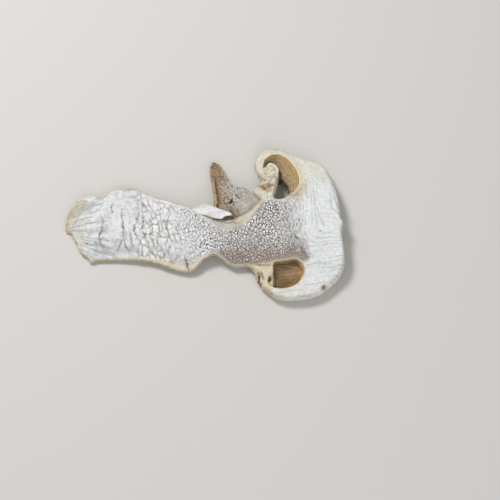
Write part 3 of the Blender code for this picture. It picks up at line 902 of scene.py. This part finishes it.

# %% [markdown]
# ### Where the colours lie
#
# The flesh turns cream near its edges and in the veil, tan where skin is left, brown in creases, partly
# as painted shade, and grey along raised fibres. Painted shade also lies grey along the stem's near edge,
# brown along the neck's near side and between the veil's lumps, and dark deep in the hollows, tears and
# cracks. A painted image would need a flat map of the piece. Masks made of distances need none, so each
# number here is the highest of several masks, and each mask a product of ramps.

# %% Cream
from_near_stem = distance_to_path(x, y, smooth_path(NEAR_STEM_EDGE))[0]
flange = ramp(4.0, 1.4, from_near_stem + 0.6 * soft_noise(x / 3, y / 3, 3))
flange = flange * ramp(-28, -18, x) * ramp(2, -3, x)
in_near_veil = ramp(28, 26.5, x) * ramp(-15.5, -18.5, y) * ramp(14, 18, x)
foot_skin = ramp(3.4, 1.0, inside + 0.8 * layered_noise(x / 2, y / 2, 4))
foot_skin = foot_skin * ramp(-46, -51, x) * ramp(-4, 0, y)
collar = ramp(17.5, 20.5, x) * ramp(30, 27, x) * ramp(7.0, 9.5, y) * ramp(15, 13, y)
collar = np.maximum(collar, 0.9 * ramp(2.8, 1.0, distance_to_path(x, y, window_loop)[0]) * ramp(12, 9, y))
cream = most(
    0.7 * ramp(1.2, 0.1, inside) * (1 - 0.6 * ramp(26, 34, x)),
    0.65 * flange,
    0.9 * ramp(1.0, 0.5, -in_near) * (in_near < 0) * (0.4 + 0.6 * ramp(36, 28, x - y - 20)),
    0.7 * ramp(6.0, 1.0, from_far_rim) * (in_band < 0),
    0.65 * chunk,
    0.8 * in_near_veil,
    0.9 * shelf,
    0.6 * collar,
    0.32 * ramp(14, 22, y) * ramp(18, 26, x),
    0.15 * ramp(-24, -29, y) * ramp(20, 26, x),
    0.75 * foot_skin,
    0.2 * ramp(-44, -50, x),
)
print("cream, %:", covered(cream))

# %% Tan and rust
RUST_LINE = [(20.8, 14.6), (22.2, 12.9), (24.4, 12.2), (26.6, 12.7), (28.0, 14.4), (28.9, 17.4)]
RUST_SPOTS = [
    (23.1, 14.6, 1.1), (25.6, 14.8, 1.1), (24.3, 13.8, 0.9), (21.8, 15.4, 0.7), (27.0, 15.2, 0.6),
    (47.2, -28.2, 0.9),
]

spotty = 0.55 + 0.6 * soft_noise(x / 1.8, y / 1.8, 2)
edge_tan = 0.9 * ramp(0.5, 0.0, inside) * spotty
edge_tan *= (1 - 0.6 * ramp(30, 40, x)) * (1 - 0.8 * ramp(24, 30, x - y - 25))
skin = most(
    edge_tan,
    0.7 * foot_skin * spotty,
    0.6 * ramp(0.9, 0.1, np.abs(from_far_rim - 1.4)) * (in_band < 0) * ramp(16, 10, y) * ramp(19, 22, x),
    0.5 * veil_folds,
    0.7 * creased(RUST_LINE, 0.7) * spotty,
    0.8 * ramp(2.2, 0.6, inside) * ramp(14.5, 16, y) * ramp(22, 20.5, y) * ramp(25, 23, x) * spotty,
    0.3 * chunk * ramp(26.5, 29, x) * ramp(19, 15, y),
    0.6 * in_near_veil * ramp(1.4, 0.3, inside) * spotty,
    0.6 * ramp(0.7, 0.1, inside) * ramp(50, 52, x) * ramp(4, -2, y) * ramp(-20, -12, y),
    0.5 * spot(0.9, x, y, (21.4, -25.4)),
)
rust = most(*(spot(width, shake_x, shake_y, place) for *place, width in RUST_SPOTS))
rust = np.maximum(rust, 0.7 * bump(2.0, np.hypot(x - 28.2, 2 * (y - 32.8))) * spotty)
print("tan and rust, %:", covered(skin), covered(rust))

# %% Gills, painted shade and dark specks
SPECKS = [
    (46.2, -5.5, 0.3), (-47.2, -8.4, 0.28), (-38.0, 2.2, 0.25), (-44.6, 4.6, 0.2), (20.0, -3.2, 0.3),
    (24.6, 20.6, 0.35), (25.8, 19.0, 0.3),
]

gill = np.maximum(ramp(-0.15, 0.1, in_near) * (1 - shelf), ramp(0.02, 0.08, far_share) * (in_band > 0))
root = np.maximum(
    ramp(0.15, 0.4, in_near) * ramp(3.8, 2.4, in_near) * ramp(0.0, 3.0, outwards),
    ramp(0.44, 0.22, far_share) * ramp(0.02, 0.08, far_share),
) * (0.75 + 0.35 * layered_noise(x / 1.6, y / 1.6, 14))
shelf_root = ramp(0.1, 0.4, in_near) * ramp(1.5, 0.8, in_near) * ramp(-23.4, -24.6, y)
root = np.maximum(root, 0.6 * shelf * shelf_root)
# Dark is painted shade: in the near hollow under its steep wall, at the bottom of the far hollow, and in the
# tears, cracks and small hole. The specks are the flesh's own dark spots.
dark = most(
    0.5 * ramp(-0.1, 0.2, in_near) * ramp(1.6, 0.8, in_near) * ramp(2.0, 0.0, outwards) * (1 - shelf),
    0.5 * ramp(0.75, 1.0, far_share) * (in_band > 0),
    0.9 * tears,
    *(0.8 * spot(width, x, y, place) for *place, width in SPECKS),
    0.5 * cracks,
    small_hole,
    0.6 * spot(0.45, x, y, (24.6, 24.6)),
)
print("gills and dark places, %:", covered(gill), covered(dark))

# %% Streaks, creases and painted shade
# Grey near the borders of the carved cells is painted shade on their slopes.
shade_near_borders = ramp(0.45, 0.05, middle_border) * middle_zone + ramp(0.4, 0.05, small_border) * small_zone
streak = 0.85 * foot_zone * ramp(-0.2, 0.7, foot_fibres) + 0.05 * shade_near_borders
fibres_show = (0.15 + 0.85 * ramp(22, 12, y)) * (1 - 0.45 * spot(9, x, y, (46, -4)))
streak += 0.65 * cap_zone * ramp(0.25, 0.9, cap_fibres) * fibres_show
streak += 0.7 * edge_zone * ramp(0.0, 0.5, edge_fibres) + 0.12 * ramp(-24, -30, x) * ramp(-46, -40, x)
streak += 0.25 * ramp(-45, -51, x)
streak += (0.1 + 0.5 * ramp(-22, -30, x)) * np.clip(puckers, 0, 1) * ramp(36, 26, x)
# Two grey bands along the near edge of the stem and the neck are painted shade where the flesh turns down to
# its edge.
streak += 0.45 * ramp(6.5, 3.5, from_near_stem) * ramp(1.2, 3.0, from_near_stem) * ramp(0, -8, x)
streak += 0.55 * ramp(5, 2, from_near_stem) * ramp(-1, 5, x) * ramp(20, 16, x)
# Brown in the creases and cracks, which are carved as well, is partly painted shade. Painted shade also lies
# brown along the neck's near side and between the veil's lumps, and a grey-brown band lies above the near
# hollow's rim.
crease = most(
    0.9 * long_creases,
    0.65 * net,
    0.75 * painted_neck_shade,
    cracks,
    0.22 * ramp(6, 2, from_far_rim) * (in_band < 0) * ramp(21, 10, y) * ramp(28, 32, x),
    0.45 * ramp(0.55, 0.9, lump) * chunk,
    0.8 * veil_folds,
    0.5 * ramp(3.4, 2.0, -in_near) * ramp(0.7, 1.1, -in_near) * ramp(-18.6, -17.4, y) * ramp(20, 23, x),
)
print("streaks and creases, %:", covered(streak), covered(crease))
face_only = {
    "streak": streak, "neck": neck * (1 - collar), "scales": scales, "beads": beads,
    "pebble": pebble_zone * patches * (1 - collar), "drawn": drawn_zone * patches, "rust": rust,
    "root": root, "gill": gill, "dark": dark,
}
everywhere = {"cream": cream, "crease": crease, "skin": skin}

# %% The flesh as one piece
# Its wall is cream and a little tan, less so at the crown and the foot, and has the gills' colour and a
# painted shade by the window. Its underside carries only cream, tan and fainter creases and painted shade.
points, faces, source, down = closed_sheet(flesh, top, bottom, rows=4, swell=0.18)
on_wall, on_face = (down > 0) & (down < 1), down == 0
on_crown = np.maximum(ramp(24, 32, x), ramp(-50, -53, x))[source]
by_gills = ramp(0.9, 0.3, from_far_inner)[source]
carried = {label: values[source].clip(0, 1) for label, values in everywhere.items()}
carried |= {label: values[source].clip(0, 1) * on_face for label, values in face_only.items()}
carried["skin"] = np.where(on_wall, 0.35 - 0.3 * on_crown, carried["skin"])
carried["cream"] = np.where(on_wall, 0.8 - 0.5 * on_crown, carried["cream"])
carried["crease"] = carried["crease"] * np.where(down == 1, 0.4, 1)
carried["gill"] = np.where(on_wall, by_gills, carried["gill"])
carried["dark"] = np.where(on_wall, 0.5 * by_gills, carried["dark"])
slice_piece = put_piece("slice_flesh", points, faces, flesh_finish, "flesh", **carried)
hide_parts(NODE)

# %% [markdown]
# ## The gills
#
# Gills are thin plates that stand side by side under the cap. In the near hollow the cut runs along them,
# so they lie as a panel of plates with their edges up, which fan out a little towards the rim. In the far
# hollow they follow the curve of the rim, each one lower than the last, down to the window. Every plate
# is a flat section carried along its own path, a little wavy, and each row differs in height.


# %% Near gills
def face_at(places):
    """Height of the finished face at the grid point nearest to each place."""
    return np.array([top[np.argmin((x - a) ** 2 + (y - b) ** 2)] for a, b in places])


def put_plates(name, plates):
    """One piece from plates, each given as (its section, its root number, its number of dark tone and painted
    shade).
    """
    sections, *numbers = zip(*plates)
    root, dark = (
        np.concatenate([value + np.zeros(len(section[0])) for section, value in zip(sections, values)])
        for values in numbers
    )
    put_piece(name, *joined(sections), gill_finish, "gills", root=root, dark=dark)


NEAR_GILL_PITCH = 0.56
NEAR_GILL_START_X = 27.4
NEAR_GILL_FAN = 0.36
NEAR_GILL_HALF_HEIGHT = 0.7
GILL_HALF_THICKNESS = 0.2
chance = np.random.default_rng(5)

plates = []
low_y, high_y = near_rim_loop[:, 1].min(), near_rim_loop[:, 1].max()
for plate_y in np.arange(low_y - 3.5, high_y - 0.4, NEAR_GILL_PITCH):
    reach = np.linspace(NEAR_GILL_START_X, 40, 151)
    line = plate_y + (0.05 + NEAR_GILL_FAN * ramp(-19, -28, plate_y)) * (reach - NEAR_GILL_START_X)
    open_here = depth_inside(reach, line, near_rim_loop) > 0.45
    if np.count_nonzero(open_here) < 20:
        continue
    along = np.linspace(reach[open_here].min(), reach[open_here].max(), 36)
    plan_y = np.interp(along, reach, line) + 0.1 * layered_noise(along / 4, np.full(36, plate_y / 3), 51)
    floor = face_at(zip(along, plan_y))
    rise = 0.75 + chance.uniform(-0.12, 0.12) + 0.1 * layered_noise(along / 1.2, np.full(36, plate_y), 52)
    rise *= ramp(0, 0.8, along - along[0] + 0.4) * ramp(-0.2, 1.6, along[-1] - along)
    path = np.column_stack([along, plan_y, floor + rise - NEAR_GILL_HALF_HEIGHT])
    section = carried_section(path, (0, 0, 1), GILL_HALF_THICKNESS, NEAR_GILL_HALF_HEIGHT, 8)
    place = section[0][:, :2].T
    past = past_centre(*place)
    root = ramp(3.8, 2.4, depth_inside(*place, near_rim_loop)) * ramp(0.0, 3.0, past) * chance.uniform(0.7, 1)
    # Each plate is a little darker at random, and the plates on the stem's side, under the steep wall, more
    # so as painted shade.
    plates.append((section, root, 0.12 * ramp(2.0, -3.0, past) + chance.uniform(0, 0.22)))
put_plates("gills_near", plates)

# %% Far gills
FAR_GILLS = 13
FAR_GILL_HALF_HEIGHT = 0.4
FAR_GILL_HALF_THICKNESS = 0.13

plates = []
share_along = np.linspace(0, 1, 64)
ends = []
for line in (far_rim_path, far_inner_path):
    at = np.linspace(0, 1, len(line))
    ends.append(np.column_stack([np.interp(share_along, at, line[:, axis]) for axis in (0, 1)]))
rim, inner = ends
width = np.hypot(*(inner - rim).T)
for number in range(FAR_GILLS):
    share = (number + 0.8) / (FAR_GILLS - 2.6)
    beyond = max(share - 1, 0)
    broad = width > 1.4 + 1.2 * (number % 2) + 12 * beyond
    centre = (rim + (inner - rim) * share)[broad]
    ease = np.sin(np.pi * np.linspace(0.03, 0.97, len(centre))) ** 0.5
    rise = 0.12 + 0.3 * ramp(0.4, 1, share) * (number % 2) - 3 * beyond
    rise = rise + 0.08 * layered_noise(centre[:, 0] / 1.5, centre[:, 1] / 1.5, 53 + number)
    floor = np.maximum(face_at((rim + (inner - rim) * min(share, 0.96))[broad]), 0.6)
    path = np.column_stack([centre, np.maximum(floor + rise * ease - FAR_GILL_HALF_HEIGHT, 0.5)])
    half_height = FAR_GILL_HALF_HEIGHT * (0.4 + 0.6 * ease)
    section = carried_section(path, (0, 0, 1), FAR_GILL_HALF_THICKNESS, half_height, 8)
    # Each plate is a little darker at random, and the lowest plates, by the window, more so as painted shade.
    dark = 0.2 + 0.35 * ramp(0.6, 1.1, share) + chance.uniform(0, 0.3)
    plates.append((section, ramp(0.44, 0.22, share), dark))
put_plates("gills_far", plates)

# %% [markdown]
# ## The ring and its lip
#
# The ring is what is left of the skin that joined the cap's margin to the stem. It hangs from under a
# broad lip along the far side of the neck, fibrous, wrinkled and torn, with holes worn through it.
# Its free edge turns up, and its left edge is rolled so that the brown outer skin shows.

# %% Ring
RING_TUCK = [(4.4, 0.4), (8.2, -2.0), (13.8, -1.2), (20.0, 3.4), (22.6, 8.6)]
RING_HOLES = [
    [(9.5, 8.6), (10.4, 8.4), (11.2, 9.0), (11.2, 10.8), (10.6, 10.6), (10.2, 9.9)],
    [(12.0, 12.2), (12.4, 12.5), (13.3, 11.7), (14.3, 10.4), (13.9, 10.2), (12.9, 11.4)],
    [(10.2, 6.4), (10.6, 6.4), (10.6, 6.8), (10.2, 6.8)],
]
RING_STEP_DOWN = 0.9
RING_HANG = 28.0
RING_TOP = 1.2
RING_SHEET = 0.6
RING_STEP = 0.22

ring_loop = smooth_path(RING_EDGE + RING_TUCK, 0.8, True)
holes = [smooth_path(hole, 0.3, True) for hole in RING_HOLES]
ring = PlanGrid(ring_loop, holes, RING_STEP)
ring_x, ring_y = ring.x, ring.y
in_flesh = depth_inside(ring_x, ring_y, flesh_loop)
ring_left = smooth_path(RING_EDGE[4:], 0.8)
from_left = distance_to_path(ring_x, ring_y, ring_left)[0]
across, along = (21 * ring_x + 13 * ring_y) / 24.7, (13 * ring_x - 21 * ring_y) / 24.7
fibres = soft_noise(across / 0.36, along / 5, 61) + 0.6 * soft_noise(across / 0.7, along / 8, 62)
folds = soft_noise(across / 2.6, along / 15, 63)
shake = 0.4 * layered_noise(ring_x / 1.2, ring_y / 1.2, 68)
wrinkle = cell_net((ring_x + shake) / 1.5, (ring_y - shake) / 1.2, 69)[1]
wrinkled = bump(0.16, wrinkle) * (0.6 + 0.5 * soft_noise(ring_x / 3, ring_y / 3, 70))
ring_low = (underside(ring_x, ring_y) + RING_STEP_DOWN) * (1 - ramp(0, RING_HANG, -in_flesh))
free = ramp(1.0, 4.0, -in_flesh)
ring_top = ring_low + RING_TOP - 0.8 * ramp(5.0, 0.5, -in_flesh)
ring_top += free * 0.35 * folds + 0.08 * fibres + 0.3 * ramp(0, 0.5, wrinkle) - 0.2 * wrinkled
ring_top += 0.55 * free * ramp(1.6, 0, ring.depth_here)
ring_bottom = ring_top - RING_SHEET
ring_bottom += np.maximum(0, 0.3 - ring_bottom)
ring_top = np.maximum(ring_top, ring_bottom + 0.3)
points, faces, source, _ = closed_sheet(ring, ring_top, ring_bottom, rows=3, swell=0.08)
in_ring = depth_inside(ring_x, ring_y, ring_loop)
whiter = ramp(11, 18, ring_x + 0.3 * ring_y)
flecks = 0.8 * ramp(16, 8, ring_x - 0.2 * ring_y) * ramp(2, 5, -in_flesh)
shade = 0.75 * ramp(8.0, 4.0, -in_flesh) + 0.55 * np.clip(fibres, 0, 1) + 0.55 * wrinkled
shade = shade * (1 - 0.8 * whiter) + 0.5 * ramp(17, 22, ring_y)
# A dark line is painted 1.7 mm in from the ring's rolled left edge.
dark_line = bump(0.35, from_left - 1.7) * ramp(3, 6, ring_y) * ramp(23, 20, ring_y)
put_piece(
    "ring_skirt", points, faces, ring_finish, "ring", source,
    shade=shade,
    pale=0.95 * whiter,
    flecks=flecks,
    skin=0.6 * ramp(3.4, 2.4, from_left + shake) * ramp(2, 5, ring_y) * ramp(24, 20, ring_y),
    cream=0.6 * ramp(0.9, 0.2, in_ring),
    root=0.3 * ramp(19, 24, ring_y),
    dark=0.55 * dark_line,
)

# %% Rolled left edge of the ring
ROLL_HALF_WIDTH = 0.62

roll_plan = smooth_path([(a + 0.7, b) for a, b in RING_EDGE[6:]], 0.4, False)
roll_plan = roll_plan[roll_plan[:, 1] < 21.5]
ease = np.sin(np.pi * np.linspace(0.04, 0.96, len(roll_plan))) ** 0.4
nearest = [np.argmin((ring_x - a) ** 2 + (ring_y - b) ** 2) for a, b in roll_plan]
roll_height = ring_top[nearest] + 0.15 + 0.1 * layered_noise(roll_plan[:, 1] / 2, roll_plan[:, 0], 72)
roll_width = ROLL_HALF_WIDTH * ease * (1 + 0.25 * layered_noise(roll_plan[:, 1] / 1.6, roll_plan[:, 0], 73))
roll_path = np.column_stack([roll_plan, roll_height])
points, faces = carried_section(roll_path, (0, 0, 1), roll_width, 0.7 * roll_width, 14, 1.0)
stripes = soft_noise(points[:, 0] / 0.3, points[:, 1] / 3, 74)
put_piece(
    "ring_roll", points, faces, ring_finish, "ring",
    skin=np.full(len(points), 0.35),
    root=0.4 + 0.4 * stripes,
    cream=0.8 * stripes,
    dark=-0.3 * stripes,
)

# %% Lip
LIP_STEP = 0.22
LIP_SHEET = 1.1

lip = PlanGrid(lip_loop, [], LIP_STEP)
outer_path = smooth_path(LIP_OUTER, 0.8)
inner_path = smooth_path(LIP_INNER, 0.8)
from_outer, along_lip = distance_to_path(lip.x, lip.y, outer_path)
from_inner = distance_to_path(lip.x, lip.y, inner_path)[0]
share = from_outer / (from_outer + from_inner + 1e-6)
lip_level = underside(lip.x, lip.y) + flesh_thickness(lip.x, 1.5)
lip_fibres = soft_noise(from_outer / 0.4 + soft_noise(lip.x / 3, lip.y / 3, 75), lip.x / 5, 76)
lip_top = lip_level - 0.15 - 0.35 * share + 0.1 * lip_fibres
lip_top += 0.45 * bump(0.4, from_inner - 0.4) * ramp(0.3, 0.6, along_lip)
lip_faces = rounded(lip_level - 0.3 - LIP_SHEET, lip_top, lip.depth_here, 0.5, 0.5)
points, faces, source, _ = closed_sheet(lip, *lip_faces, rows=3, swell=0.05)
# Painted shade: the lip's left end is greyer, and brown lies on its inner side there. Its right end is
# creamier.
bright = ramp(0.35, 0.6, along_lip)
put_piece(
    "ring_lip", points, faces, flesh_finish, "ring", source,
    cream=0.35 + 0.3 * bright,
    crease=0.5 * (1 - bright) * ramp(-0.4, 0.4, lip_fibres) * ramp(0.1, 0.5, share),
    streak=0.25 + 0.4 * (1 - bright) + 0.7 * np.clip(lip_fibres, 0, 1),
    skin=0.7 * ramp(0.6, 0.1, from_inner) + 0.35 * ramp(0.4, 0.1, from_outer),
)

# %% [markdown]
# ## Peeled slivers and loose fibres
#
# A cut across dry fibres lifts slivers. A large white one stands up beside the neck, a small one along
# the foot, and fine fibres stick out wherever skin was torn.

# %% Slivers
PEELED_LEAF = [
    (-5.1, 5.9), (-3.0, 6.4), (-1.4, 7.5), (2.0, 6.9), (4.2, 5.9), (7.0, 4.6), (9.5, 3.5), (11.0, 2.5),
    (10.2, 2.0), (8.1, 1.7), (7.0, 0.7), (5.2, 0.8), (3.5, 1.3), (1.3, 2.3), (-1.6, 3.0), (-4.0, 4.4),
]
FOOT_SLIVER = [(-44.0, 11.2), (-45.5, 12.9), (-48.8, 12.5), (-53.4, 9.9), (-49.6, 10.9), (-46.5, 10.2)]
SLIVER_SHEET = 0.4


def put_sliver(name, outline, root_height, tip_height, step):
    """A thin sheet that rises from the outline's first place by the 0.7th power of the distance."""
    loop = smooth_path(outline, 0.5, True)
    grid = PlanGrid(loop, [], step)
    reach = np.hypot(grid.x - loop[0, 0], grid.y - loop[0, 1])
    share = reach / reach.max()
    fibre = soft_noise(grid.y / 0.35 - grid.x / 1.6, grid.x / 6, 68)
    middle = root_height + (tip_height - root_height) * share**0.7
    middle += 0.35 * ramp(1.6, 0, grid.depth_here) * share + 0.08 * fibre
    half = SLIVER_SHEET / 2
    points, faces, source, _ = closed_sheet(grid, middle + half, middle - half, rows=3, swell=0.05)
    put_piece(
        name, points, faces, flesh_finish, "flesh", source,
        streak=0.4 * np.clip(fibre, 0, 1),
        cream=0.5 * ramp(0.7, 0.1, grid.depth_here),
    )


put_sliver("peeled_leaf", PEELED_LEAF, 4.8, 6.8, 0.22)
put_sliver("foot_sliver", FOOT_SLIVER, 1.9, 1.9, 0.2)

# %% Loose fibres
FIBRE_EDGES = [
    (smooth_path(RING_EDGE[2:8], 0.6), 2.6, 10),
    (smooth_path(PEELED_LEAF[1:6], 0.5), 6.2, 7),
    (smooth_path(FOOT_SLIVER[0:4], 0.5), 2.0, 5),
    (smooth_path(FOOT[1:], 0.8), 1.2, 9),
    (smooth_path(NEAR_VEIL_EDGE + NEAR_MARGIN[:1], 0.8), 4.2, 8),
    (smooth_path(FAR_MARGIN[2:], 0.8), 4.8, 9),
]
FIBRE_LENGTH = (0.8, 2.2)
FIBRE_RADIUS = 0.06

strands = []
for edge, height, amount in FIBRE_EDGES:
    run = np.gradient(edge, axis=0)
    outward = np.column_stack([run[:, 1], -run[:, 0]]) / np.hypot(*run.T)[:, None]
    for place in chance.choice(len(edge), amount):
        length, lean = chance.uniform(*FIBRE_LENGTH), chance.uniform(-1.2, 1.2)
        t = np.linspace(0, 1, 9)
        facing = outward[place] + lean * np.array([-outward[place][1], outward[place][0]])
        facing /= np.hypot(*facing)
        curl = chance.uniform(-0.5, 0.5) * t**2
        growth = np.outer(t, facing) + np.outer(curl, facing[::-1])
        plan = edge[place] - 0.3 * outward[place] + length * growth
        rise = height + chance.uniform(-0.4, 0.4) + chance.uniform(-0.4, 0.6) * t**2 * length
        path = np.column_stack([plan, np.maximum(rise, 0.1)])
        radius = FIBRE_RADIUS * (1 - 0.7 * t)
        strands.append(carried_section(path, (0.1, 0.2, 1), radius, radius, 5, 1.0))
points, faces = joined(strands)
put_piece("loose_fibres", points, faces, flesh_finish, "flesh", cream=np.full(len(points), 0.7))

# %% [markdown]
# ## Table and light
#
# A pale matt table and soft daylight: one lamp behind the slice on the left, low enough that wrinkles,
# gills and the notch are modelled by shade, a much larger and weaker one in front, and an even sky.

# %% Table
TABLE_GREY = colour(204, 201, 196)

bpy.ops.mesh.primitive_plane_add(size=4, location=(0, 0, 0))
table = bpy.context.object
table.name = "table"
table_finish = bpy.data.materials.new("pale_table")
table_finish.use_nodes = True
table_tree = table_finish.node_tree
feed(table_tree, table_tree.nodes["Principled BSDF"], {"Base Color": TABLE_GREY, "Roughness": 0.9})
table.data.materials.append(table_finish)

# %% Light
KEY_POWER = 5.05
FILL_POWER = 3.5
SKY_STRENGTH = 0.4

for name, size, power, place in (
    ("key", 0.26, KEY_POWER, (-0.35, 0.37, 0.65)),
    ("fill", 0.9, FILL_POWER, (0.3, -0.75, 0.45)),
):
    light = bpy.data.lights.new(name, "AREA")
    light.shape = "DISK"
    light.size = size
    light.energy = power
    lamp = bpy.data.objects.new(name, light)
    bpy.context.scene.collection.objects.link(lamp)
    lamp.location = place
    lamp.rotation_euler = (-lamp.location).to_track_quat("-Z", "Y").to_euler()
sky = bpy.data.worlds.new("sky")
bpy.context.scene.world = sky
sky.use_nodes = True
sky_inputs = {"Color": (0.94, 0.97, 1, 1), "Strength": SKY_STRENGTH}
feed(sky.node_tree, sky.node_tree.nodes["Background"], sky_inputs)
bpy.context.scene.view_settings.view_transform = "Standard"
print("lamps, W:", KEY_POWER, FILL_POWER, "sky:", SKY_STRENGTH)
